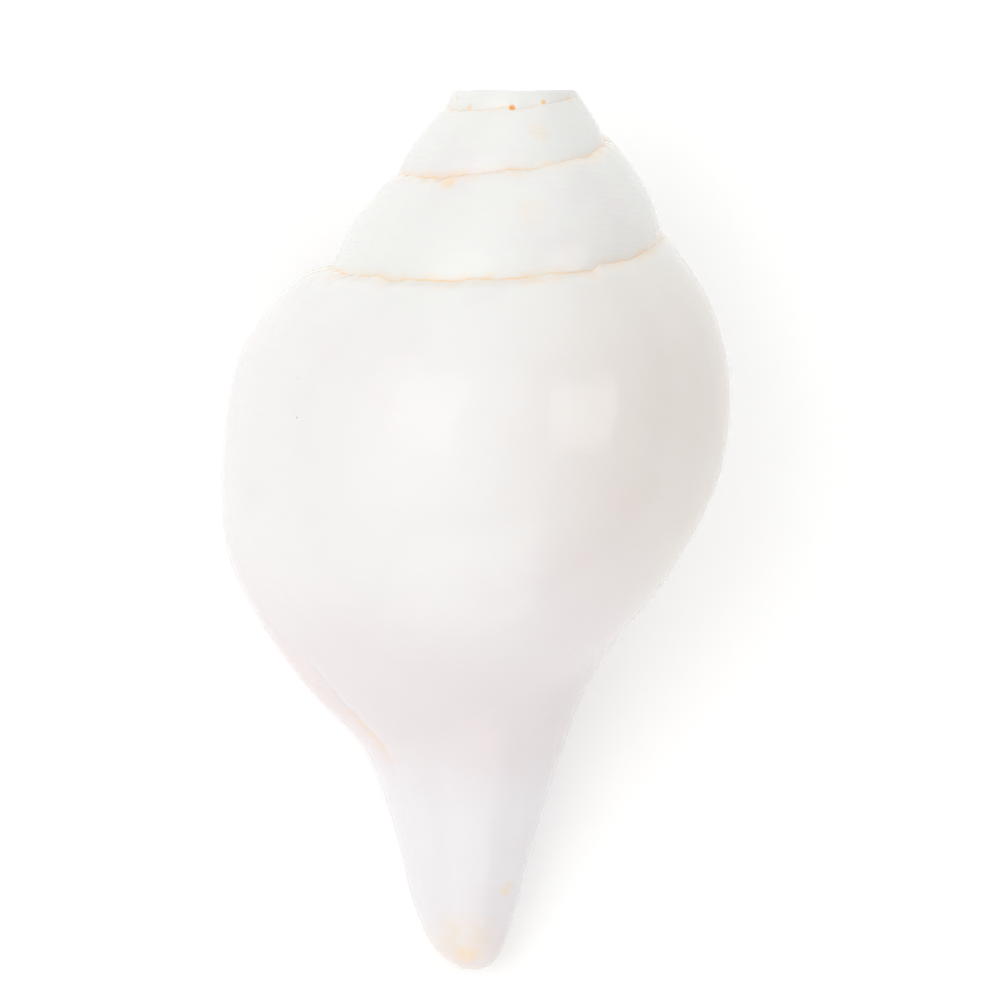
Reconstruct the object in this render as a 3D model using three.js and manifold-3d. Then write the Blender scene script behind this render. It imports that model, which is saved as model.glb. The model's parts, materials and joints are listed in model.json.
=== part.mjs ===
// A blowing conch: one right-handed chank shell, polished, with its apex ground off flat
// and a blow hole drilled down the axis into the whorls. Millimetres, +Z up.
// It lies on its aperture, as a loose shell does: the lip, the belly of the body whorl and
// the canal tip touch the surface, the cut apex points to +Y and the canal to -Y.
// The origin is at the bottom centre of its box.
//
// The shell is a growth spiral. "turn" counts whorls along it: 0 is on the -X side of the
// body whorl, minus one is the same side one whorl earlier. "down" is the distance along
// the coiling axis from the pole of the spiral, where the first whorl would have started.
import * as THREE from 'three';
import { mergeVertices } from 'three/addons/utils/BufferGeometryUtils.js';
import Module from 'manifold-3d';

// Driving dimensions
const GROWTH = 1.567; // how much every size grows in one turn
const START_ANGLE = 178.6; // degrees round the axis from +X, at turn 0
const SUTURE_DOWN = 48; // suture of the body whorl below the pole, at turn 0
const TIP_DOWN = 172; // canal tip below the pole
const CUT_DOWN = 16.25; // where the ground-off face crosses the axis
const GROUND_LEAN = 6.5; // degrees that the ground face is out of square, about X
const GROUND_SIDE = 2.5; // and about the local upright
const LIP_TURN = 0.09; // where the shell stopped growing
const WHORL_RADII = [19.5, 31.5, 42, 47, 48, 46.5, 40, 31, 17.5, 1.5, 1];
const WHORL_SPAN = 2.1; // length that those radii cover, in suture distances
const SHOULDER_SWELL = 2.4; // the body whorl bulges more under the suture towards the lip
const SHOULDER_AT = 0.195; // middle of that bulge, and its width, in suture distances
const SHOULDER_SPREAD = 0.29;
const SHOULDER_RUN = 0.71; // turns over which it grows
const SHOULDER_EDGE = 0.02;
const SPIRE_SLIM = 0.04; // the earliest whorls are this much slimmer than the spiral gives
const SLIM_RUN = 1.3; // turns before 0 where that starts, and the turns that it takes
const SPIRE_FULL = 0.03; // but they are this much fuller just above the next suture
const FULL_FROM = 0.7; // turns before 0 where that starts
const FULL_RUN = 0.9;
const FULL_BELOW = 0.12; // and where it starts below their own suture, in suture distances
const FULL_BELOW_RUN = 0.4;
const SUTURE_WANDER = [
	0, 0.034, 0.026, -0.027, -0.04, 0.022, 0.007, -0.003, 0.012, -0.01, -0.045, -0.05,
];
const WANDER_FROM = -2.25; // turns between which the suture strays from the spiral
const WANDER_TO = 0.25;
const FASCIOLE_DOWN = 102; // low swelling left by the older canal, beside the columella
const FASCIOLE_HEIGHT = 2.3;
const FASCIOLE_LENGTH = 9.5;
const FASCIOLE_TURN = -0.53;
const FASCIOLE_SPREAD = 0.12;
const CANAL_TOP = 0.55 * TIP_DOWN; // where the canal's taper starts
const CANAL_RADII = [38.5, 37.5, 26.5, 20, 13, 11, 10.5];
const CANAL_WRAP_TOP = 2.5; // how much the canal's flank widens in one turn
const CANAL_WRAP_TIP = 6.9;
const CORE_RADIUS_TOP = 9; // foot of the columella inside the canal
const CORE_RADIUS_TIP = 0.8;
const CANAL_MEETS = 0.4; // share of the length where the canal starts to shape the whorl
const CANAL_MEETS_RUN = 0.15;
const CANAL_SOFTNESS = 2.2;
const NOSE_LENGTH = 19.7; // rounding of the canal tip
const NOSE_POWER = 2.3;
const CORE_NOSE_LENGTH = 1.7;
const PILLAR_RADII = [0.5, 3, 5, 7, 6.6, 4.2, 2.6, 1.2];
const FOLD_DOWN = [95, 104, 113]; // three folds on the columella, at the lip
const FOLD_HEIGHT = 1.3;
const FOLD_WIDTH = 2.2;
const FOLD_FADE = 0.07; // turns over which the folds rise behind the lip
const PILLAR_SOFTNESS = 1;
const WALL = 4.1; // wall thickness at turn 0
const WALL_GROWTH = 0.8; // the wall thickens more slowly than the shell grows
const WALL_THINS = 0.45; // share of it lost between here and the tip
const WALL_THINS_FROM = 0.72;
const CALLUS = 0.35; // glaze laid over the previous whorl
const HOLE_RADIUS = 5.25; // blow hole
const HOLE_END_DOWN = 46;
const HOLE_SIDES = 28;
const CUTTER_REACH = 5; // how far a cutter stands outside what it cuts
const BLOCK_SIDE = 60; // the block that stands for what was ground off
const BLOCK_HEIGHT = 40;
const TILT = 16.06; // degrees that the axis rises towards the apex

// The spiral hollow, in turns and millimetres
const HOLLOW_FIRST_TURN = -2.55;
const HOLLOW_PAST_LIP = 0.03;
const HOLLOW_TOP = 5.6; // below the suture, at turn 0
const HOLLOW_BOTTOM = 125; // below the pole, at turn 0
const HOLLOW_LENGTHENS = [[36, -1, 0.7], [34, -0.32, 0.3]]; // by, from turn, over turns
const HOLLOW_ABOVE_TIP = 2;
const CANAL_EXIT = 5; // the canal runs out through the tip, just behind the lip
const CANAL_EXIT_TURN = 0.01;
const CANAL_EXIT_RUN = 0.04;
const DRILLED_FROM = -1.9; // the drill thinned the pillar before this turn
const DRILLED_RUN = 0.5;
const DRILLED_SHARE = 0.6;
const HOLLOW_END_POWER = 7; // how squarely the hollow's two ends close
const HOLLOW_END_GAP = 0.03;
const HOLLOW_HALF_MIN = 0.7;

// Fineness of the facets
const TURNS = 4;
const LIP_COLUMNS = [0.0012, 0.004, 0.01, 0.02];
const COLUMNS = 36;
const WHORL_ROWS = 8;
const CANAL_ROWS = 17;
const CAVITY_STEPS = 26;
const CAVITY_ROWS = 11;
const FACET_ALLOWANCE = 1 / Math.cos(Math.PI / COLUMNS); // flats stand outside the round
const LIP_ROUNDNESS = 0.93; // share of the wall's half that the lip's rounding takes in
const WHORL_ROW_POWER = 1.3; // rows crowd towards the suture
const TIP_ROW_POWER = 0.2; // and towards the tip

const wasm = await Module();
wasm.setup();

const clamp = THREE.MathUtils.clamp;

function smooth(x) {
	return THREE.MathUtils.smoothstep(x, 0, 1);
}

function smoothMax(a, b, soft) {
	return (a + b + Math.hypot(a - b, soft)) / 2;
}

function bell(x) {
	return Math.exp(-(x ** 2));
}

// Uniform cubic B-spline through a list of radii, u from 0 to 1.
function spline(radii, u) {
	const x = clamp(u, 0, 1) * (radii.length - 3);
	const i = Math.min(Math.floor(x), radii.length - 4);
	const w = x - i;
	return ((1 - w) ** 3 * radii[i] + (3 * w ** 3 - 6 * w ** 2 + 4) * radii[i + 1]
		+ (-3 * w ** 3 + 3 * w ** 2 + 3 * w + 1) * radii[i + 2] + w ** 3 * radii[i + 3]) / 6;
}

function sutureDown(turn) {
	const stray = spline(SUTURE_WANDER, (turn - WANDER_FROM) / (WANDER_TO - WANDER_FROM));
	return SUTURE_DOWN * GROWTH ** turn * (1 + stray);
}

// Outside of the shell: the whorl's own curve, grown to size, meets the tapering canal.
function outerRadius(turn, down) {
	const size = GROWTH ** turn;
	const below = down / sutureDown(turn) - 1;
	const whorl = size * spline(WHORL_RADII, below / WHORL_SPAN);
	const full = SPIRE_FULL * smooth((-turn - FULL_FROM) / FULL_RUN)
		* smooth((below - FULL_BELOW) / FULL_BELOW_RUN);
	const slim = 1 - SPIRE_SLIM * smooth((-turn - SLIM_RUN) / SLIM_RUN) + full;
	const u = clamp((down - CANAL_TOP) / (TIP_DOWN - CANAL_TOP), 0, 1);
	const core = THREE.MathUtils.lerp(CORE_RADIUS_TOP, CORE_RADIUS_TIP, u);
	const wrap = THREE.MathUtils.lerp(CANAL_WRAP_TOP, CANAL_WRAP_TIP, u) ** turn;
	const canal = core + (spline(CANAL_RADII, u) - core) * wrap;
	const blend = smooth((down / TIP_DOWN - CANAL_MEETS) / CANAL_MEETS_RUN);
	const swell = SHOULDER_SWELL * bell((below - SHOULDER_AT) / SHOULDER_SPREAD)
		* clamp(1 + turn / SHOULDER_RUN, 0, 3) ** 2 * smooth(below / SHOULDER_EDGE);
	const fasciole = FASCIOLE_HEIGHT * bell((down - FASCIOLE_DOWN) / FASCIOLE_LENGTH)
		* bell((turn - FASCIOLE_TURN) / FASCIOLE_SPREAD);
	const joined = smoothMax(whorl, canal, CANAL_SOFTNESS);
	const radius = THREE.MathUtils.lerp(whorl * slim, joined, blend) + swell + fasciole;
	if (down <= TIP_DOWN - NOSE_LENGTH) {
		return radius;
	}
	const q = clamp((down - TIP_DOWN + NOSE_LENGTH) / NOSE_LENGTH, 0, 1);
	const coreEnd = clamp((down - TIP_DOWN + CORE_NOSE_LENGTH) / CORE_NOSE_LENGTH, 0, 1);
	return core * Math.sqrt(1 - coreEnd ** 2)
		+ (radius - core) * (1 - q ** NOSE_POWER) ** (1 / NOSE_POWER);
}

// Inside of the cavity: the previous whorl, its glaze, and the columella with its folds.
function innerRadius(turn, down) {
	const pillar = spline(PILLAR_RADII, down / TIP_DOWN);
	const fade = smooth((LIP_TURN - turn) / FOLD_FADE);
	let folds = 0;
	for (const fold of FOLD_DOWN) {
		const off = down - fold * GROWTH ** (turn - LIP_TURN);
		folds += FOLD_HEIGHT * fade * bell(off / FOLD_WIDTH);
	}
	return smoothMax(outerRadius(turn - 1, down), pillar, PILLAR_SOFTNESS) + CALLUS + folds;
}

function wallThickness(turn, down) {
	const thinned = smooth((down / TIP_DOWN - WALL_THINS_FROM) / (1 - WALL_THINS_FROM));
	return WALL * GROWTH ** (WALL_GROWTH * turn) * (1 - WALL_THINS * thinned);
}

// How far each side of the wall is rounded back near the lip's edge.
function lipRounding(turn, down, radius) {
	const half = wallThickness(turn, down) / 2;
	const reach = 2 * Math.PI * radius * (LIP_TURN - turn);
	const u = clamp(1 - reach / half, 0, LIP_ROUNDNESS);
	return half * (1 - Math.sqrt(1 - u * u));
}

function place(turn, down, radius) {
	const angle = THREE.MathUtils.degToRad(START_ANGLE) + 2 * Math.PI * turn;
	return new THREE.Vector3(radius * Math.cos(angle), -down, radius * Math.sin(angle));
}

function solid(points, faces) {
	const geometry = new THREE.BufferGeometry().setFromPoints(points);
	geometry.setIndex(faces);
	return solidOf(geometry);
}

function solidOf(geometry) {
	geometry.deleteAttribute('normal');
	geometry.deleteAttribute('uv');
	const merged = mergeVertices(geometry, 1e-5);
	return new wasm.Manifold(new wasm.Mesh({
		numProp: 3,
		vertProperties: new Float32Array(merged.attributes.position.array),
		triVerts: new Uint32Array(merged.index.array),
	}));
}

function quad(faces, a, b, c, d) {
	faces.push(a, b, c, a, c, d);
}

// The whole shell, filled: a helical skin, closed at the pole and by a flat face at the lip.
function filledShell() {
	const turns = [];
	for (let lap = 0; lap < TURNS; lap++) {
		const lapEnd = LIP_TURN - TURNS + lap + 1;
		for (let k = 0; k < COLUMNS; k++) {
			turns.push(lapEnd - 1 + k / COLUMNS);
		}
		for (const before of [...LIP_COLUMNS].reverse()) {
			turns.push(lapEnd - before);
		}
	}
	turns.push(LIP_TURN);
	const perTurn = COLUMNS + LIP_COLUMNS.length;
	const last = turns.length - 1;
	const points = [];
	const faces = [];
	const index = turns.map(() => []);
	const tip = points.push(place(0, TIP_DOWN, 0)) - 1;
	const pole = points.push(place(0, CUT_DOWN / 3, 0)) - 1;
	turns.forEach((turn, i) => {
		const top = sutureDown(turn);
		const rows = i >= last - perTurn ? WHORL_ROWS + CANAL_ROWS : WHORL_ROWS;
		for (let j = 0; j <= rows; j++) {
			if (j === 0 && i >= perTurn) {
				index[i][0] = index[i - perTurn][WHORL_ROWS];
				continue;
			}
			if (j === WHORL_ROWS + CANAL_ROWS) {
				index[i][j] = tip;
				continue;
			}
			const s = (j / WHORL_ROWS) ** WHORL_ROW_POWER;
			const u = (j - WHORL_ROWS) / CANAL_ROWS;
			const end = sutureDown(turn + 1);
			const down = j <= WHORL_ROWS ? top + (end - top) * s
				: end + (TIP_DOWN - end) * Math.sin(u * Math.PI / 2) ** (1 + TIP_ROW_POWER * (1 - u));
			const radius = outerRadius(turn, down);
			const rounded = radius * FACET_ALLOWANCE - lipRounding(turn, down, radius);
			index[i][j] = points.push(place(turn, down, rounded)) - 1;
		}
	});
	for (let i = 0; i < last; i++) {
		const rows = Math.min(index[i].length, index[i + 1].length) - 1;
		for (let j = 0; j < rows; j++) {
			if (index[i][j + 1] === tip) {
				faces.push(index[i][j], index[i + 1][j], tip);
			} else {
				quad(faces, index[i][j], index[i + 1][j], index[i + 1][j + 1], index[i][j + 1]);
			}
		}
	}
	for (let i = 0; i < perTurn; i++) {
		faces.push(pole, index[i + 1][0], index[i][0]);
	}
	for (let j = 0; j < WHORL_ROWS; j++) {
		faces.push(pole, index[0][j], index[0][j + 1]);
	}
	closeLip(points, faces, index[last], index[last - perTurn].slice(WHORL_ROWS));
	return solid(points, faces);
}

// The flat face between the lip's outline and the outline one turn before.
function closeLip(points, faces, outer, inner) {
	let a = 0;
	let b = 0;
	while (a < outer.length - 1 || b < inner.length - 1) {
		const nextOuter = a < outer.length - 1 ? -points[outer[a + 1]].y : Infinity;
		const nextInner = b < inner.length - 1 ? -points[inner[b + 1]].y : Infinity;
		const corners = nextOuter <= nextInner
			? [outer[a], inner[b], outer[++a]]
			: [outer[a], inner[b], inner[++b]];
		if (new Set(corners).size === 3) {
			faces.push(...corners);
		}
	}
}

// The spiral hollow: a closed tube from outside the lip up to the blow hole.
function cavity() {
	const turns = [];
	const steps = Math.round((LIP_TURN - HOLLOW_FIRST_TURN) * CAVITY_STEPS);
	for (let k = 0; k < steps; k++) {
		turns.push(THREE.MathUtils.lerp(HOLLOW_FIRST_TURN, LIP_TURN, k / steps));
	}
	for (const before of [...LIP_COLUMNS].reverse()) {
		turns.push(LIP_TURN - before);
	}
	turns.push(LIP_TURN, LIP_TURN + HOLLOW_PAST_LIP);
	const points = [];
	const faces = [];
	const ring = 2 * CAVITY_ROWS;
	for (const turn of turns) {
		const drilled = smooth((DRILLED_FROM - turn) / DRILLED_RUN);
		const top = sutureDown(turn) + HOLLOW_TOP * GROWTH ** turn;
		let reaching = HOLLOW_BOTTOM * GROWTH ** turn;
		for (const [by, from, over] of HOLLOW_LENGTHENS) {
			reaching += by * smooth((turn - from) / over);
		}
		const bottom = Math.min(reaching, TIP_DOWN - HOLLOW_ABOVE_TIP)
			+ CANAL_EXIT * smooth((turn - CANAL_EXIT_TURN) / CANAL_EXIT_RUN);
		for (let k = 0; k < ring; k++) {
			const outside = k < CAVITY_ROWS;
			const v = (outside ? k : ring - 1 - k) / (CAVITY_ROWS - 1);
			const down = THREE.MathUtils.lerp(top, bottom, (1 - Math.cos(Math.PI * v)) / 2);
			const full = (1 - Math.abs(2 * v - 1) ** HOLLOW_END_POWER) * (1 - HOLLOW_END_GAP)
				+ HOLLOW_END_GAP;
			const skin = outerRadius(turn, Math.min(down, TIP_DOWN));
			const inner = innerRadius(turn, Math.min(down, TIP_DOWN)) * (1 - DRILLED_SHARE * drilled);
			const outer = skin - wallThickness(turn, down) + lipRounding(turn, down, skin);
			const middle = (inner + outer) / 2;
			const half = Math.max((outer - inner) / 2, HOLLOW_HALF_MIN) * full;
			points.push(place(turn, down, middle + (outside ? half : -half)));
		}
	}
	for (let i = 0; i < turns.length - 1; i++) {
		for (let k = 0; k < ring; k++) {
			const next = (k + 1) % ring;
			quad(faces, i * ring + k, (i + 1) * ring + k, (i + 1) * ring + next, i * ring + next);
		}
	}
	for (const [start, flip] of [[0, false], [(turns.length - 1) * ring, true]]) {
		for (let k = 0; k < CAVITY_ROWS - 1; k++) {
			const a = start + k;
			const b = start + k + 1;
			const c = start + ring - 2 - k;
			const d = start + ring - 1 - k;
			if (flip) {
				quad(faces, a, d, c, b);
			} else {
				quad(faces, a, b, c, d);
			}
		}
	}
	return solid(points, faces);
}

function blowHole() {
	const length = HOLE_END_DOWN - CUT_DOWN + CUTTER_REACH;
	const hole = new THREE.CylinderGeometry(HOLE_RADIUS, HOLE_RADIUS, length, HOLE_SIDES);
	hole.translate(0, -HOLE_END_DOWN + length / 2, 0);
	return solidOf(hole);
}

function groundOffApex() {
	const block = new THREE.BoxGeometry(BLOCK_SIDE, BLOCK_HEIGHT, BLOCK_SIDE);
	block.translate(0, BLOCK_HEIGHT / 2, 0);
	block.rotateX(THREE.MathUtils.degToRad(-GROUND_LEAN));
	block.rotateZ(THREE.MathUtils.degToRad(GROUND_SIDE));
	block.translate(0, -CUT_DOWN, 0);
	return solidOf(block);
}

function toGeometry(body) {
	const mesh = body.getMesh();
	const geometry = new THREE.BufferGeometry();
	geometry.setAttribute('position', new THREE.BufferAttribute(mesh.vertProperties, 3));
	geometry.setIndex(new THREE.BufferAttribute(mesh.triVerts, 1));
	return geometry;
}

const body = filledShell().subtract(cavity()).subtract(blowHole()).subtract(groundOffApex());
const geometry = toGeometry(body);
geometry.rotateX(THREE.MathUtils.degToRad(TILT));
geometry.computeBoundingBox();
const box = geometry.boundingBox;
geometry.translate(-(box.min.x + box.max.x) / 2, -(box.min.y + box.max.y) / 2, -box.min.z);

const polishedShell = new THREE.MeshStandardMaterial({ color: 0xf1efed, roughness: 0.2, metalness: 0 });
const shell = new THREE.Mesh(geometry, polishedShell);
shell.name = 'conch_shell';

const conch = new THREE.Group();
conch.add(shell);
export default conch;
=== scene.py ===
import json
import math
import bmesh
import bpy
import numpy as np
from mathutils import Matrix, Vector


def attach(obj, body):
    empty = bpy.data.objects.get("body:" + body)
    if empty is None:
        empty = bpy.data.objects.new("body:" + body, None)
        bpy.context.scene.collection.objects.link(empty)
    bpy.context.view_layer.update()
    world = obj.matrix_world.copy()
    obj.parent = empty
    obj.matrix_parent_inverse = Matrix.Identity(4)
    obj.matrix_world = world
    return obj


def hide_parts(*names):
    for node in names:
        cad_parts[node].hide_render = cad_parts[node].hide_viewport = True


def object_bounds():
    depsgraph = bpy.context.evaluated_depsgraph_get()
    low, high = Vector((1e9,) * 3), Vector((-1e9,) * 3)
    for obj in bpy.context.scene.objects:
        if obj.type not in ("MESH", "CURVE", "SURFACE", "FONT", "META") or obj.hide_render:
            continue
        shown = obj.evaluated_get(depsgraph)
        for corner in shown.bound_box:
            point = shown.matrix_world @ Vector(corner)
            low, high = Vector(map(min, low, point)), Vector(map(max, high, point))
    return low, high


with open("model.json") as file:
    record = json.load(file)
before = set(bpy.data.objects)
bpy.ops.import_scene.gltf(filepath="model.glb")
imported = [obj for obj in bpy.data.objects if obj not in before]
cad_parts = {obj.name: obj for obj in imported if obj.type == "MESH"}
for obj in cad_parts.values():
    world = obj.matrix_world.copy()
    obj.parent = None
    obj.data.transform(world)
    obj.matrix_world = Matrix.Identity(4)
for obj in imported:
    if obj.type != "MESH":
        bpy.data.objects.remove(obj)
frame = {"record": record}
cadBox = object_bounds()
print("frame loaded")

mm = 0.001

# The shell is a growth spiral in millimetres. "turn" counts whorls along it, 0 on the -X side of the
# body whorl; "down" is the distance along the coiling axis from the pole.
shellForm = {
    "growth": 1.567,            # how much every size grows in one turn
    "startAngle": 178.6,        # degrees round the axis at turn 0
    "sutureDown": 48.0,
    "tipDown": 172.0,
    "axisTilt": 16.06,          # degrees that the axis rises towards the apex
    "cutDown": 16.25,           # where the ground-off face crosses the axis
    "groundLean": 6.5,          # degrees that this face is out of square, about X
    "groundSide": 2.5,          # and about the local upright
    "lipTurn": 0.09,            # where the shell stopped growing
    "turns": 4,
    "whorlRadii": [19.5, 31.5, 42, 47, 48, 46.5, 40, 31, 17.5, 1.5, 1],
    "whorlSpan": 2.1,           # length that those radii cover, in suture distances
    "shoulderSwell": 2.4,
    "spireSlim": 0.04,          # the earliest whorls are slimmer than the spiral gives
    "spireFull": 0.03,          # but fuller just above the next suture
    "sutureWander": [0, 0.034, 0.026, -0.027, -0.04, 0.022, 0.007, -0.003, 0.012, -0.01, -0.045, -0.05],
    "wanderFrom": -2.25,
    "wanderTo": 0.25,
    "fascioleDown": 102.0,      # low swelling left by the older canal
    "fascioleHeight": 2.3,
    "canalRadii": [38.5, 37.5, 26.5, 20, 13, 11, 10.5],
    "canalWrap": (2.5, 6.9),    # how much the canal's flank widens in a turn, at its top and its tip
    "coreRadius": (9.0, 0.8),
    "noseLength": 19.7,
    "pillarRadii": [0.5, 3, 5, 7, 6.6, 4.2, 2.6, 1.2],
    "foldDown": (95, 104, 113),  # three folds on the columella
    "foldHeight": 1.3,
    "foldWidth": 2.2,
    "wall": 4.1,
    "callus": 0.35,
}
shellForm["canalTop"] = 0.55 * shellForm["tipDown"]

# What hand grinding and polishing left: the fine shape that lies on top of the form, in millimetres.
fineForm = {
    "ledgeRun": 0.55,           # how quickly a whorl's top edge rounds over, at turn 0
    "grooveDepth": 0.03,        # the suture's own hairline groove
    "grooveWidth": 0.16,
    "raggedWaves": [(11.0, 0.13, 0.3), (6.3, 0.08, 2.1), (3.4, 0.045, 4.4), (1.9, 0.02, 1.2)],
    "jogs": [(-0.126, 0.010, -0.32), (-0.333, 0.006, 0.5)],   # turn, width in turns, height
    "dips": [(-1.134, 0.013, 0.55), (-1.118, 0.022, 0.35)],   # turn, width in turns, drop
    "creaseTurn": -0.08,        # soft groove behind the flange of the lip
    "creaseDown": (109.0, 134.0),
    "creaseDepth": 0.3,
    "creaseWidth": 1.3,
    "polishWaves": 14,          # broad, shallow flats left by the wheel
    "polishHeight": 0.014,
    "polishLimit": 5.0,
    "tipInset": 0.12,           # the canal's end stays this far inside the CAD's facets
    "tipShort": 0.3,            # and stops this far short of them
    "worn": 0.02,               # height of the tiny flats where the shell has stood
    "flangeHeight": 0.6,        # low swelling between the crease and the lip's edge
    "flangeTurns": (-0.075, 0.07),
    "flangeDown": (84.0, 134.0),
    "tintDown": (106.0, 134.0),  # where the flange is tinted and painted shade darkens the crease
    "insideFrom": 1.6,          # what lies this deep under the skin counts as inside
    "seed": 11,
}
fineGrid = {"columns": 260, "whorlRows": 44, "canalRows": 64, "cavitySteps": 150, "cavityRows": 26}
lipColumns = [0.0003, 0.0008, 0.0015, 0.0025, 0.004, 0.006, 0.009, 0.013, 0.019, 0.028]
cavity = {
    "firstTurn": -2.55,         # the hollow starts here
    "pastLip": 0.03,            # and goes on this many turns past the lip, so that it cuts clean through
    "belowSuture": 5.6,         # its top lies this far below the suture, at turn 0
    "reach": 125,               # how far down it reaches, at turn 0
    "longer": [(36, -1, 0.7), (34, -0.32, 0.3)],   # added reach, the turn where it starts, over how many
    "tipStop": 2,               # it stops this far short of the tip
    "tipThrough": 5,            # but runs out through it near the lip
    "leastHalf": 0.7,           # half its least width
    "drilledTurn": -1.9,        # above this turn the blow hole has thinned the pillar
}
blowHole = {"radius": 5.25, "endDown": 46.0, "easedEdge": 0.35}
mountPlace = (7.407, 15.927)  # the record's mount on the ground ring: beside the axis, and down it


def smooth(x):
    # 3x^2 - 2x^3, held at 0 and 1 outside
    c = np.clip(x, 0, 1)
    return c * c * (3 - 2 * c)


def spline(values, u):
    # uniform cubic B-spline through a list of values, u from 0 to 1
    p = np.array(values, float)
    x = np.clip(u, 0, 1) * (len(p) - 3)
    i = np.minimum(np.floor(x).astype(int), len(p) - 4)
    w = x - i
    return ((1 - w) ** 3 * p[i] + (3 * w ** 3 - 6 * w ** 2 + 4) * p[i + 1]
            + (-3 * w ** 3 + 3 * w ** 2 + 3 * w + 1) * p[i + 2] + w ** 3 * p[i + 3]) / 6


def grown(turn):
    # the growth of one turn to the power of the turn
    return shellForm["growth"] ** turn


def sutureDown(turn):
    # growth spiral times a slow wander
    f = shellForm
    u = (turn - f["wanderFrom"]) / (f["wanderTo"] - f["wanderFrom"])
    return f["sutureDown"] * grown(turn) * (1 + spline(f["sutureWander"], u))


def sutureLine(turn):
    # the suture, plus short waves along its own length, S-shaped jogs and bell-shaped dips
    length = 433 * grown(turn)  # run of the suture from the pole, at a radius of 31 mm at turn 0
    stray = sum(a * np.sin(2 * np.pi * length / wave + phase) for wave, a, phase in fineForm["raggedWaves"])
    for at, width, height in fineForm["jogs"]:
        x = (turn - at) / width
        stray = stray + height * x * np.exp(0.5 - x * x / 2)
    for at, width, drop in fineForm["dips"]:
        stray = stray + drop * np.exp(-((turn - at) / width) ** 2)
    return sutureDown(turn) + stray * smooth((shellForm["lipTurn"] - turn) / 0.02)


def outerRadius(turn, down):
    # the whorl's curve grown to size, met smoothly by the tapering canal, rounded off at the tip
    f = shellForm
    below = down / sutureDown(turn) - 1
    whorl = grown(turn) * spline(f["whorlRadii"], below / f["whorlSpan"])
    slim = (1 - f["spireSlim"] * smooth((-turn - 1.3) / 1.3)
            + f["spireFull"] * smooth((-turn - 0.7) / 0.9) * smooth((below - 0.12) / 0.4))
    u = np.clip((down - f["canalTop"]) / (f["tipDown"] - f["canalTop"]), 0, 1)
    core = f["coreRadius"][0] + (f["coreRadius"][1] - f["coreRadius"][0]) * u
    wrap = (f["canalWrap"][0] + (f["canalWrap"][1] - f["canalWrap"][0]) * u) ** turn
    canal = core + (spline(f["canalRadii"], u) - core) * wrap
    blend = smooth((down / f["tipDown"] - 0.4) / 0.15)
    swell = (f["shoulderSwell"] * np.exp(-((below - 0.195) / 0.29) ** 2)
             * np.clip(1 + turn / 0.71, 0, 3) ** 2 * smooth(below / 0.02))
    fasciole = (f["fascioleHeight"] * np.exp(-((down - f["fascioleDown"]) / 9.5) ** 2)
                * np.exp(-((turn + 0.53) / 0.12) ** 2))
    joined = (whorl + canal + np.hypot(whorl - canal, 2.2)) / 2
    radius = whorl * slim * (1 - blend) + joined * blend + swell + fasciole
    q = np.clip((down - f["tipDown"] + f["noseLength"]) / f["noseLength"], 0, 1)
    coreNose = np.sqrt(1 - np.clip((down - f["tipDown"] + 1.7) / 1.7, 0, 1) ** 2)
    nose = core * coreNose + (radius - core) * (1 - q ** 2.3) ** (1 / 2.3)
    return np.where(down > f["tipDown"] - f["noseLength"], nose, radius)


def polishFlats(turn, down):
    # a sum of seeded waves over turn and down, 6 to 22 mm long, always inwards
    rng = np.random.default_rng(fineForm["seed"])
    total = 0
    for _ in range(fineForm["polishWaves"]):
        wave = rng.uniform(6, 22)
        heading = rng.uniform(0, np.pi)
        phase = rng.uniform(0, 2 * np.pi)
        along = 240 * turn * np.cos(heading) + down * np.sin(heading)
        total = total + np.sin(2 * np.pi * along / wave + phase)
    limit = fineForm["polishLimit"]
    return fineForm["polishHeight"] * limit * (np.tanh(total / limit) - 1)


def fineRadius(turn, down):
    # the form, with the whorl's top edge rounded onto the whorl before it, the suture's groove, the
    # crease and the flange behind the lip, the tip's inset, and the polishing flats
    n = fineForm
    gap = down - sutureLine(turn)
    nextGap = sutureLine(turn + 1) - down
    radius = outerRadius(turn, down)
    before = outerRadius(turn - 1, down)
    radius = radius + (before - radius) * np.exp(-np.maximum(gap, 0) / (n["ledgeRun"] * grown(turn)))
    nearest = np.minimum(np.abs(gap), np.where(turn < shellForm["lipTurn"] - 1, np.abs(nextGap), 99))
    radius = radius - n["grooveDepth"] * np.exp(-(nearest / n["grooveWidth"]) ** 2)
    across = 2 * np.pi * radius * (turn - n["creaseTurn"])
    run = smooth((down - n["creaseDown"][0]) / 8) * smooth((n["creaseDown"][1] - down) / 8)
    radius = radius - n["creaseDepth"] * run * np.exp(-(across / n["creaseWidth"]) ** 2)
    firstTurn, lastTurn = n["flangeTurns"]
    firstDown, lastDown = n["flangeDown"]
    onFlange = smooth((turn - firstTurn) / 0.035) * smooth((lastTurn - turn) / 0.04)
    flange = n["flangeHeight"] * onFlange * smooth((down - firstDown) / 14) * smooth((lastDown - down) / 14)
    tipDown = shellForm["tipDown"]
    inset = n["tipInset"] * smooth((down - tipDown + 30) / 12) * smooth((tipDown - down) / 0.6)
    calm = smooth((tipDown - down) / 12)
    return radius + flange - inset + polishFlats(turn, down) * calm


def innerRadius(turn, down):
    # the whorl before, its glaze, and the columella with its folds
    f = shellForm
    before = outerRadius(turn - 1, down)
    pillar = spline(f["pillarRadii"], down / f["tipDown"])
    fade = smooth((f["lipTurn"] - turn) / 0.07)
    folds = sum(f["foldHeight"] * fade
                * np.exp(-((down - at * grown(turn - f["lipTurn"])) / f["foldWidth"]) ** 2)
                for at in f["foldDown"])
    return (before + pillar + np.hypot(before - pillar, 1)) / 2 + f["callus"] + folds


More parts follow.
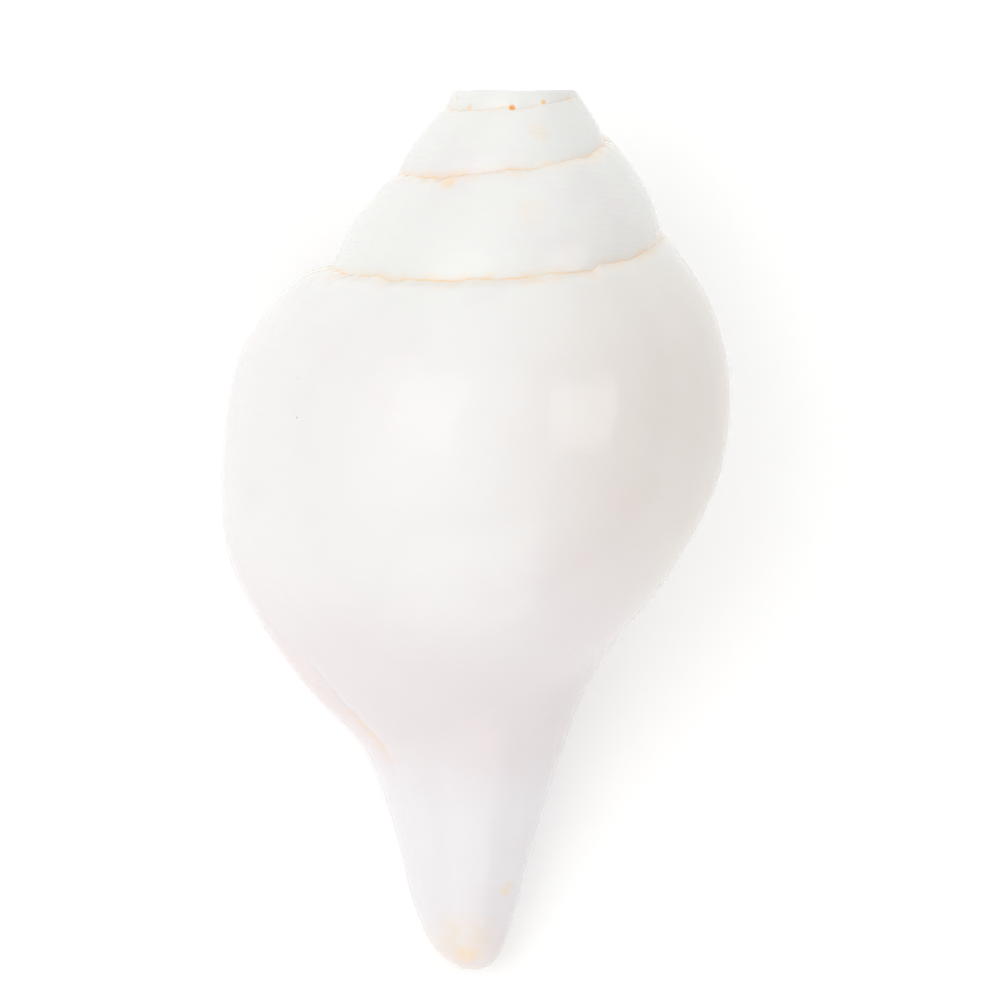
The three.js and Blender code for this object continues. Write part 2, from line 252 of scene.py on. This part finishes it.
def wallThickness(turn, down):
    # grows along the spiral a little slower than the shell does, and thins by 45 % towards the tip
    f = shellForm
    return f["wall"] * grown(0.8 * turn) * (1 - 0.45 * smooth((down / f["tipDown"] - 0.72) / 0.28))


def lipRounding(turn, down, radius):
    # each side of the wall follows a quarter circle back from the lip's edge
    half = wallThickness(turn, down) / 2
    reach = 2 * np.pi * radius * (shellForm["lipTurn"] - turn)
    u = np.clip(1 - reach / half, 0, 0.985)
    return half * (1 - np.sqrt(1 - u * u))


# The record's mount fixes the spiral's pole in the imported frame.
mount = frame["record"]["mounts"][0]
tilt = math.radians(shellForm["axisTilt"])
beside, downAxis = mountPlace
pole = np.array(mount["pos_m"]) / mm - np.array(
    (beside, -downAxis * math.cos(tilt), -downAxis * math.sin(tilt)))


def place(turn, down, radius):
    # polar round the axis, leaned back by the tilt, moved to the pole; gives metres
    angle = math.radians(shellForm["startAngle"]) + 2 * np.pi * turn
    x, y, z = radius * np.cos(angle), -down + 0 * radius, radius * np.sin(angle)
    leaned = np.stack([x, y * math.cos(tilt) - z * math.sin(tilt),
                       y * math.sin(tilt) + z * math.cos(tilt)], -1)
    return (leaned + pole) * mm


def newObject(name, points, faces):
    mesh = bpy.data.meshes.new(name)
    mesh.from_pydata(points.tolist(), [], faces)
    mesh.update()
    made = bpy.data.objects.new(name, mesh)
    bpy.context.scene.collection.objects.link(made)
    return made


def quads(a, b, c, d):
    # four arrays of point numbers, read together, give one four-sided face each
    return np.stack([a.ravel(), b.ravel(), c.ravel(), d.ravel()], -1).tolist()


def shortened(down):
    # the last 25 mm of the canal are drawn back a little, most at the tip
    return down - fineForm["tipShort"] * smooth((down - shellForm["tipDown"] + 25) / 25)


def filledSkin():
    # grid of turn by down: each whorl runs from its suture to the next and shares that row with it;
    # the last turn goes on to the tip, and one flat face closes the lip
    f, g = shellForm, fineGrid
    lap = np.concatenate([np.arange(g["columns"]) / g["columns"], 1 - np.array(lipColumns[::-1])])
    lap = np.sort(np.unique(lap))
    perTurn = len(lap)
    turns = np.concatenate([f["lipTurn"] - f["turns"] + k + lap for k in range(f["turns"])]
                           + [[f["lipTurn"]]])
    last = len(turns) - 1
    whorlRows, rows = g["whorlRows"], g["whorlRows"] + g["canalRows"]
    v = np.arange(whorlRows + 1) / whorlRows
    spread = v - 0.88 * np.sin(2 * np.pi * v) / (2 * np.pi)   # rows crowd together at both sutures
    u = np.arange(1, g["canalRows"]) / g["canalRows"]
    reach = np.sin(u * np.pi / 2) ** (1 + 0.2 * (1 - u))      # and at the tip
    turn = turns[:, None]
    top, end = sutureLine(turn), sutureLine(turn + 1)
    down = np.concatenate([top + (end - top) * spread, end + (f["tipDown"] - end) * reach], 1)
    down = np.minimum(down, f["tipDown"] - 1e-3)
    turn = np.broadcast_to(turn, down.shape)
    radius = fineRadius(turn, down)
    radius = radius - lipRounding(turn, down, radius)
    points = place(turn, shortened(down), radius)
    points[..., 2] = np.maximum(points[..., 2], fineForm["worn"] * mm)
    index = np.full((len(turns), rows + 1), -1)
    own = np.zeros((len(turns), rows), bool)
    own[:, 1:whorlRows + 1] = True
    own[:perTurn, 0] = True
    own[last - perTurn:, whorlRows + 1:] = True
    kept = points[own]
    tip, apex = len(kept), len(kept) + 1
    index[:, :rows][own] = np.arange(len(kept))
    index[perTurn:, 0] = index[:-perTurn, whorlRows]
    index[last - perTurn:, rows] = tip
    a, b = index[:-1], index[1:]
    faces = quads(a[:, :whorlRows], b[:, :whorlRows], b[:, 1:whorlRows + 1], a[:, 1:whorlRows + 1])
    a, b = index[last - perTurn:-1], index[last - perTurn + 1:]
    lo, hi = slice(whorlRows, rows - 1), slice(whorlRows + 1, rows)
    faces += quads(a[:, lo], b[:, lo], b[:, hi], a[:, hi])
    faces += [[p, q, tip] for p, q in zip(a[:, rows - 1].tolist(), b[:, rows - 1].tolist())]
    faces += [[apex, q, p] for p, q in zip(index[:perTurn, 0].tolist(), index[1:perTurn + 1, 0].tolist())]
    faces += [[apex, p, q] for p, q in zip(index[0, :whorlRows].tolist(), index[0, 1:whorlRows + 1].tolist())]
    outline = index[last].tolist() + index[last - perTurn, whorlRows + 1:rows][::-1].tolist()
    faces.append(outline[::-1])
    ends = place(np.zeros(2), shortened(np.array([f["tipDown"], f["cutDown"] / 3])), np.zeros(2))
    return newObject("skin", np.concatenate([kept, ends]), faces)


def hollow():
    # a ring in turn and down carried along the spiral: outside is the skin less the wall, inside the
    # whorl before and the columella, both drawn together at the ring's two ends
    f, g, c = shellForm, fineGrid, cavity
    first, lastTurn = c["firstTurn"], f["lipTurn"] + c["pastLip"]
    steps = int(round((f["lipTurn"] - first) * g["cavitySteps"]))
    turns = np.concatenate([np.linspace(first, f["lipTurn"] - lipColumns[-1] * 1.3, steps),
                            f["lipTurn"] - np.array(lipColumns[::-1]), [f["lipTurn"], lastTurn]])
    rows = g["cavityRows"]
    ring = 2 * rows
    k = np.arange(ring)
    outside = k < rows
    v = np.where(outside, k, ring - 1 - k) / (rows - 1)
    turn = turns[:, None]
    drilled = smooth((c["drilledTurn"] - turn) / 0.5)
    top = sutureDown(turn) + c["belowSuture"] * grown(turn)
    reaching = c["reach"] * grown(turn)
    for added, start, over in c["longer"]:
        reaching = reaching + added * smooth((turn - start) / over)
    bottom = np.minimum(reaching, f["tipDown"] - c["tipStop"])
    bottom = bottom + c["tipThrough"] * smooth((turn - 0.01) / 0.04)
    down = top + (bottom - top) * (1 - np.cos(np.pi * v)) / 2
    turn = np.broadcast_to(turn, down.shape)
    full = (1 - np.abs(2 * v - 1) ** 7) * 0.97 + 0.03
    onShell = np.minimum(down, f["tipDown"])
    skin = outerRadius(turn, onShell)
    inner = innerRadius(turn, onShell) * (1 - 0.6 * drilled)
    outer = skin - wallThickness(turn, down) + lipRounding(turn, down, skin)
    half = np.maximum((outer - inner) / 2, c["leastHalf"]) * full
    radius = (inner + outer) / 2 + np.where(outside, half, -half)
    points = place(turn, down, radius).reshape(-1, 3)
    index = np.arange(len(points)).reshape(len(turns), ring)
    a, b = index[:-1], index[1:]
    faces = quads(a, b, np.roll(b, -1, 1), np.roll(a, -1, 1))
    j = np.arange(rows - 1)
    for end, flip in ((index[0], False), (index[-1], True)):
        corners = [end[j], end[j + 1], end[ring - 2 - j], end[ring - 1 - j]]
        faces += quads(*([corners[0], *corners[:0:-1]] if flip else corners))
    return newObject("hollow", points, faces)


def groundDown(x, z):
    # how far down the ground face lies, x and z beside the axis
    f = shellForm
    return f["cutDown"] - math.tan(math.radians(f["groundSide"])) * x \
        - math.tan(math.radians(f["groundLean"])) * z


def drill():
    # a profile of radius by down, turned round the axis, flared where the hole leaves the ground face;
    # the upper rings lean with that face
    h, cut = blowHole, shellForm["cutDown"]
    ease = np.linspace(0, np.pi / 2, 7)
    fromFace = np.concatenate([[-5], h["easedEdge"] * np.sin(ease), [h["endDown"] - cut]])[:, None]
    radius = h["radius"] + np.concatenate([[h["easedEdge"]], h["easedEdge"] * (1 - np.sin(ease)), [0]])
    sides = 96
    turn = (np.arange(sides) / sides)[None, :]
    angle = math.radians(shellForm["startAngle"]) + 2 * np.pi * turn
    radius = radius[:, None] + 0 * turn
    down = groundDown(radius * np.cos(angle), radius * np.sin(angle)) + fromFace
    points = place(turn + 0 * down, down, radius)
    index = np.arange(points[..., 0].size).reshape(len(down), sides)
    a, b = index[:-1], index[1:]
    faces = quads(a, np.roll(a, -1, 1), np.roll(b, -1, 1), b)
    faces += [index[0][::-1].tolist(), index[-1].tolist()]
    return newObject("drill", points.reshape(-1, 3), faces)


def grindstone():
    # a block above the ground plane, whose lower face sinks in and out by a few hundredths
    side, cut, cells = 30, shellForm["cutDown"], 60
    line = np.linspace(-side, side, cells + 1)
    x, z = np.meshgrid(line, line, indexing="ij")
    wave = 0.05 * (np.sin(x * 0.55 + 1.1) + np.sin(z * 0.7 + x * 0.2) + 2)
    turn = (np.arctan2(z, x) - math.radians(shellForm["startAngle"])) / (2 * np.pi)
    radius = np.hypot(x, z)
    low = place(turn, groundDown(x, z) + wave, radius)
    high = place(turn, cut - 30 + 0 * wave, radius)
    points = np.concatenate([low.reshape(-1, 3), high.reshape(-1, 3)])
    index = np.arange(low[..., 0].size).reshape(cells + 1, cells + 1)
    up = index + index.size
    faces = quads(index[:-1, :-1], index[1:, :-1], index[1:, 1:], index[:-1, 1:])
    faces += quads(up[:-1, :-1], up[:-1, 1:], up[1:, 1:], up[1:, :-1])
    rim = np.concatenate([index[:-1, 0], index[-1, :-1], index[:0:-1, -1], index[0, :0:-1]])
    nextRim = np.roll(rim, -1)
    faces += quads(rim, rim + index.size, nextRim + index.size, nextRim)
    return newObject("grindstone", points, faces)


def facingOut(made):
    # a closed mesh that holds a negative volume is inside out, so its faces are turned
    mesh = made.data
    mesh.calc_loop_triangles()
    co = np.zeros(len(mesh.vertices) * 3)
    mesh.vertices.foreach_get("co", co)
    tri = np.zeros(len(mesh.loop_triangles) * 3, int)
    mesh.loop_triangles.foreach_get("vertices", tri)
    p = co.reshape(-1, 3)[tri.reshape(-1, 3)]
    volume = np.einsum("ij,ij->i", p[:, 0], np.cross(p[:, 1], p[:, 2])).sum() / 6
    print(made.name, len(tri) // 3, "triangles,", round(volume * 1e6, 2), "cm3")
    if volume < 0:
        mesh.flip_normals()
    return made


def keepLargest(mesh):
    # each point takes the lowest number among its neighbours until nothing changes; only the points
    # with the commonest number stay, so slivers that the cuts set free are dropped
    ends = np.zeros(len(mesh.edges) * 2, int)
    mesh.edges.foreach_get("vertices", ends)
    a, b = ends.reshape(-1, 2).T
    label = np.arange(len(mesh.vertices))
    before = label + 1
    while (label != before).any():
        before = label.copy()
        lowest = np.minimum(label[a], label[b])
        np.minimum.at(label, a, lowest)
        np.minimum.at(label, b, lowest)
        label = label[label]
    spare = np.flatnonzero(label != np.bincount(label).argmax())
    work = bmesh.new()
    work.from_mesh(mesh)
    work.verts.ensure_lookup_table()
    bmesh.ops.delete(work, geom=[work.verts[i] for i in spare], context="VERTS")
    work.to_mesh(mesh)
    work.free()
    print("free slivers dropped:", len(spare), "points")


skin = facingOut(filledSkin())
cutters = [facingOut(hollow()), facingOut(drill()), facingOut(grindstone())]
for cutter in cutters:
    cut = skin.modifiers.new(cutter.name, "BOOLEAN")
    cut.operation, cut.solver, cut.object = "DIFFERENCE", "MANIFOLD", cutter
made = bpy.data.meshes.new_from_object(skin.evaluated_get(bpy.context.evaluated_depsgraph_get()))
for spare in [skin, *cutters]:
    bpy.data.objects.remove(spare)
made.name = "conchShell"
keepLargest(made)
shell = bpy.data.objects.new("conch_shell_polished", made)
bpy.context.scene.collection.objects.link(shell)
facingOut(shell)
print("shell cut")


def shellPlaces(mesh):
    # undoes place(): metres to distance down, angle in turns and radius, for every vertex
    co = np.zeros(len(mesh.vertices) * 3)
    mesh.vertices.foreach_get("co", co)
    p = co.reshape(-1, 3) / mm - pole
    y = p[:, 1] * math.cos(tilt) + p[:, 2] * math.sin(tilt)
    z = -p[:, 1] * math.sin(tilt) + p[:, 2] * math.cos(tilt)
    share = (np.arctan2(z, p[:, 0]) - math.radians(shellForm["startAngle"])) / (2 * np.pi)
    return -y, share, np.hypot(p[:, 0], z)


def addValues(mesh, name, values):
    # one number for every point, which the material reads by its name
    mesh.attributes.new(name, "FLOAT", "POINT").data.foreach_set("value", values.astype(np.float32))


down, share, radius = shellPlaces(made)
share = share - np.ceil(share - shellForm["lipTurn"])       # between the lip and one turn before it
laps = share[:, None] - np.arange(4)
gaps = down[:, None] - sutureLine(laps)
nearest = np.abs(gaps).min(1)
skinTurn = share - np.argmax(gaps > 0, 1)                    # the whorl that shows at this place
depth = outerRadius(skinTurn, np.minimum(down, shellForm["tipDown"])) - radius
inside = smooth((depth - fineForm["insideFrom"]) / 1.2)
addValues(made, "sutureGap", np.minimum(nearest, 9.0))
addValues(made, "downShare", np.clip(down / shellForm["tipDown"], 0, 1))
addValues(made, "inside", inside)
tintFrom, tintTo = fineForm["tintDown"]
nearLip = smooth((down - tintFrom) / 8) * smooth((tintTo - down) / 8) * (1 - inside)
addValues(made, "flange", nearLip * smooth((share - fineForm["creaseTurn"]) / 0.012))
# painted shade: a band 0.7 mm wide along the crease behind the lip, where shade falls
across = 2 * np.pi * radius * (share - fineForm["creaseTurn"])
addValues(made, "creaseShade", nearLip * np.exp(-(across / 0.7) ** 2))
made.shade_smooth()
made.set_sharp_from_angle(angle=math.radians(38))
print("values laid on the shell:", len(made.vertices), "vertices")


def linear(hexColour):
    # sRGB hex to linear, alpha 1
    parts = [int(hexColour[i:i + 2], 16) / 255 for i in (0, 2, 4)]
    return tuple(c / 12.92 if c <= 0.04045 else ((c + 0.055) / 1.055) ** 2.4 for c in parts) + (1.0,)


def addNode(tree, kind, settings=None, **links):
    # a node with its settings; links name its sockets and give a value or another node's output
    node = tree.nodes.new(kind)
    for key, value in (settings or {}).items():
        setattr(node, key, value)
    for key, value in links.items():
        socket = node.inputs[int(key[1:])] if key[0] == "i" and key[1:].isdigit() \
            else node.inputs[key.replace("_", " ")]
        if isinstance(value, bpy.types.NodeSocket):
            tree.links.new(value, socket)
        else:
            socket.default_value = value
    return node


finish = {
    "spire": "F2F2EF", "body": "F4F2F1", "lower": "EDE5E6", "canal": "F2EFF1", "tip": "F3E4D3",
    "throat": "F0DFD0", "stain": "FFE0B8", "strongStain": "FFA200", "mottle": "F0E7E9", "speck": "4A3A30",
    # the crease colour is painted shade, a greyer line for the groove behind the lip
    # the warm colour is a real warm tint, made darker so that it also paints shade on the right side
    "honey": "F6CC86", "warmTintAndShade": "EDE4DC", "flange": "F2E3E0", "creaseShade": "DCD2D4",
    "roughness": 0.095, "ior": 1.38,
}
# turn, down, radius in mm, strength, colour: marks that the polishing left in place; the large warm cloud is
# a real warm tint that also paints shade over the right side
marks = [
    (-2.234, 18.1, 0.75, 1.0, "strongStain"), (-3.125, 18.6, 0.6, 1.0, "stain"),
    (-3.313, 17.0, 0.6, 1.0, "honey"), (-2.402, 16.8, 0.7, 0.5, "stain"),
    (-3.07, 17.5, 0.5, 0.7, "stain"), (-1.155, 29.8, 2.1, 0.75, "stain"),
    (-2.29, 21.3, 2.6, 0.25, "stain"), (-1.266, 33.0, 4.0, 0.16, "stain"),
    (-0.112, 66.9, 0.17, 0.75, "speck"), (-0.104, 61.0, 0.13, 0.6, "speck"),
    # painted shade: this 46 mm warm cloud darkens the right side, on top of its real warm tint
    (-0.02, 47.3, 0.5, 0.8, "honey"), (-0.4, 70.0, 46.0, 0.8, "warmTintAndShade"),
    (-0.324, 94.0, 18.0, 0.6, "lower"), (-0.076, 121.2, 1.9, 0.3, "stain"),
    (-0.077, 123.4, 2.0, 0.38, "stain"), (-0.078, 125.6, 2.0, 0.4, "stain"),
    (-0.079, 127.8, 2.0, 0.38, "stain"), (-0.081, 130.0, 1.9, 0.28, "stain"),
    (-0.2, 163.0, 7.5, 0.6, "tip"), (-0.206, 167.0, 3.4, 0.5, "stain"),
    (-0.335, 153.9, 2.2, 0.55, "stain"),
]


def polishedShell():
    # Polished aragonite (chank shell), ground and buffed: white, slightly see-through at its skin, with
    # a soft wax-like gloss, faint pink and cream clouds, peach stain held in its sutures, and painted
    # shade in the crease behind the lip and over the right side
    material = bpy.data.materials.new("polished chank shell")
    material.use_nodes = True
    tree = material.node_tree
    tree.nodes.clear()
    place3 = addNode(tree, "ShaderNodeTexCoord").outputs["Object"]

    def mixed(factor, a, b):
        node = addNode(tree, "ShaderNodeMix", {"data_type": "RGBA"}, i0=factor)
        for socket, value in ((node.inputs[6], a), (node.inputs[7], b)):
            if isinstance(value, bpy.types.NodeSocket):
                tree.links.new(value, socket)
            else:
                socket.default_value = linear(finish[value])
        return node.outputs[2]

    def ranged(value, low, high, toLow=0.0, toHigh=1.0):
        return addNode(tree, "ShaderNodeMapRange", {"interpolation_type": "SMOOTHSTEP"}, i0=value,
                       i1=low, i2=high, i3=toLow, i4=toHigh).outputs[0]

    def times(a, b):
        return addNode(tree, "ShaderNodeMath", {"operation": "MULTIPLY"}, i0=a, i1=b).outputs[0]

    def noise(size, detail=3.0, rough=0.5):
        # size is the width of a patch in millimetres
        return addNode(tree, "ShaderNodeTexNoise", None, Vector=place3, Scale=1 / (size * mm), Detail=detail,
                       Roughness=rough).outputs["Fac"]

    def attribute(name):
        return addNode(tree, "ShaderNodeAttribute", {"attribute_name": name}).outputs["Fac"]

    along, gap, inner = attribute("downShare"), attribute("sutureGap"), attribute("inside")
    colour = mixed(ranged(along, 0.24, 0.34), "spire", "body")
    colour = mixed(ranged(along, 0.5, 0.66), colour, "lower")
    colour = mixed(ranged(along, 0.7, 0.82), colour, "canal")
    patch = times(ranged(along, 0.93, 0.985), ranged(noise(7), 0.35, 0.6, 0.2, 0.6))
    colour = mixed(patch, colour, "tip")
    colour = mixed(times(ranged(noise(26), 0.48, 0.68), 0.55), colour, "mottle")
    older = ranged(along, 0.1, 0.21, 0.35, 1.0)   # the first suture was ground almost clean
    hair = times(older, ranged(gap, 0.03, 0.24, 1.0, 0.0))   # the stain in the groove itself
    halo = times(older, ranged(gap, 0.1, 1.5, 1.0, 0.0))     # and what has crept out of it
    colour = mixed(times(halo, ranged(noise(3.8), 0.4, 0.68, 0.1, 0.5)), colour, "stain")
    colour = mixed(times(hair, ranged(noise(2.4), 0.34, 0.64, 0.25, 0.8)), colour, "stain")
    colour = mixed(times(hair, ranged(noise(1.3), 0.56, 0.72, 0.0, 0.16)), colour, "strongStain")
    colour = mixed(times(attribute("flange"), 0.4), colour, "flange")
    # painted shade darkens the crease behind the lip
    colour = mixed(times(attribute("creaseShade"), 0.4), colour, "creaseShade")
    for turn, at, size, strength, name in marks:
        spot = place(np.array([turn]), np.array([at]), fineRadius(np.array([turn]), np.array([at])))[0]
        far = addNode(tree, "ShaderNodeVectorMath", {"operation": "DISTANCE"}, i0=place3,
                      i1=tuple(spot)).outputs["Value"]
        least = 0.35 if 2.05 < size < 10 else 0.8     # middle-sized clouds are the most ragged
        ragged = times(ranged(far, 0.3 * size * mm, size * mm, strength, 0.0),
                       ranged(noise(max(0.4 * size, 0.5)), 0.36, 0.62, least, 1.0))
        colour = mixed(ragged, colour, name)
    colour = mixed(times(inner, 0.85), colour, "throat")

    # Buffing lines are 0.05 mm wide on the real shell; here they are 0.35 mm, so that they show
    def brushed(run, width):
        # streaks that run round the whorls, with their length and width in millimetres
        turned = addNode(tree, "ShaderNodeMapping", None, Vector=place3, Rotation=(tilt, 0, 0.12),
                         Scale=(1 / (run * mm), 1 / (width * mm), 1 / (run * mm))).outputs[0]
        return addNode(tree, "ShaderNodeTexNoise", None, Vector=turned, Scale=1.0, Detail=2.0).outputs["Fac"]

    def plus(a, b):
        return addNode(tree, "ShaderNodeMath", {"operation": "ADD"}, i0=a, i1=b).outputs[0]

    # ripples that the buffing wheel left, strongest on the spire
    ripples = times(brushed(6, 0.7), ranged(along, 0.2, 0.3, 1.0, 0.25))
    relief = plus(plus(ripples, times(noise(2.2, 1.0), 0.35)), times(brushed(9, 0.35), 0.05))
    bump = addNode(tree, "ShaderNodeBump", None, Strength=1.0, Distance=0.1 * mm, Height=relief).outputs[0]
    gloss = ranged(noise(9), 0.2, 0.8, finish["roughness"] - 0.03, finish["roughness"] + 0.04)
    gloss = plus(gloss, ranged(along, 0.55, 0.75, 0.0, 0.1))  # the canal is less polished
    shader = addNode(tree, "ShaderNodeBsdfPrincipled", None, Base_Color=colour, Roughness=gloss,
                     Normal=bump, IOR=finish["ior"])
    shader.inputs["Subsurface Weight"].default_value = 0.18
    shader.inputs["Subsurface Radius"].default_value = (1.0, 0.8, 0.7)
    shader.inputs["Subsurface Scale"].default_value = 1.5 * mm
    addNode(tree, "ShaderNodeOutputMaterial", None, Surface=shader.outputs[0])
    return material


made.materials.clear()
made.materials.append(polishedShell())
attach(shell, "root")
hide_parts("conch_shell")
print("material made")

studio = {
    "floorColour": "F7F7F6", "floorGlow": 0.165, "world": 0.478, "worldLean": 0.28,
    # name, direction from the shell, distance, side, power in watts
    "softboxes": [("left softbox", (-0.455, 0.165, 0.875), 0.9, 0.5, 0.8),
                  ("left panel", (-0.47, -0.12, 0.87), 0.9, 0.5, 0.3),
                  ("broad sheet", (-0.4, 0.05, 0.9), 1.2, 1.6, 4.3),
                  ("right softbox", (0.68, 0.08, 0.73), 0.9, 0.48, 1.3),
                  ("head wall", (0, 1, 0.45), 1.2, 1.2, 2.45),
                  ("foot wall", (0, -1, 0.4), 1.2, 1.2, 3.65)],
}
cameraView = {"standsOff": (0.0051, -0.0127, 0.4958), "lean": 2.22, "roll": 2.68, "lens": 106.5}

centre = (cadBox[0] + cadBox[1]) / 2


def paleFloor():
    side = 3.0
    corners = np.array([(-side, -side, 0), (side, -side, 0), (side, side, 0), (-side, side, 0)])
    floor = newObject("floor", corners, [[0, 1, 2, 3]])
    material = bpy.data.materials.new("matt white studio sheet")
    material.use_nodes = True
    shader = material.node_tree.nodes["Principled BSDF"]
    shader.inputs["Base Color"].default_value = linear(studio["floorColour"])
    shader.inputs["Roughness"].default_value = 0.9
    shader.inputs["Emission Color"].default_value = (1, 1, 1, 1)
    shader.inputs["Emission Strength"].default_value = studio["floorGlow"]
    floor.data.materials.append(material)


def softbox(name, direction, distance, side, power):
    light = bpy.data.lights.new(name, "AREA")
    light.shape, light.size, light.energy = "SQUARE", side, power
    lamp = bpy.data.objects.new(name, light)
    lamp.location = centre + Vector(direction).normalized() * distance
    lamp.rotation_euler = (centre - lamp.location).to_track_quat("-Z", "Y").to_euler()
    bpy.context.scene.collection.objects.link(lamp)


def makeCamera():
    v = cameraView
    lean, roll = math.radians(v["lean"]), math.radians(v["roll"])
    ahead = Vector((0, math.sin(lean), -math.cos(lean)))
    right = Vector((math.cos(roll), math.sin(roll), 0))
    right = (right - ahead * right.dot(ahead)).normalized()
    up = right.cross(ahead)
    data = bpy.data.cameras.new("camera")
    data.lens, data.sensor_width = v["lens"], 36
    camera = bpy.data.objects.new("camera", data)
    turned = Matrix((right, up, -ahead)).transposed().to_4x4()
    camera.matrix_world = Matrix.Translation(centre + Vector(v["standsOff"])) @ turned
    bpy.context.scene.collection.objects.link(camera)
    bpy.context.scene.camera = camera


paleFloor()
for box in studio["softboxes"]:
    softbox(*box)
makeCamera()


def studioWalls():
    # white all round; the share of light falls evenly from the left wall to the right one
    world = bpy.data.worlds.new("studio")
    world.use_nodes = True
    tree = world.node_tree
    across = addNode(tree, "ShaderNodeSeparateXYZ", None,
                     Vector=addNode(tree, "ShaderNodeTexCoord").outputs["Generated"]).outputs["X"]
    base, lean = studio["world"], studio["worldLean"]
    share = addNode(tree, "ShaderNodeMapRange", None, i0=across, i1=-1.0, i2=1.0,
                    i3=base * (1 + lean), i4=base * (1 - lean)).outputs[0]
    tree.links.new(share, tree.nodes["Background"].inputs["Strength"])
    tree.nodes["Background"].inputs["Color"].default_value = (1, 1, 1, 1)
    bpy.context.scene.world = world


studioWalls()
bpy.context.scene.view_settings.view_transform = "Standard"
print("studio made")
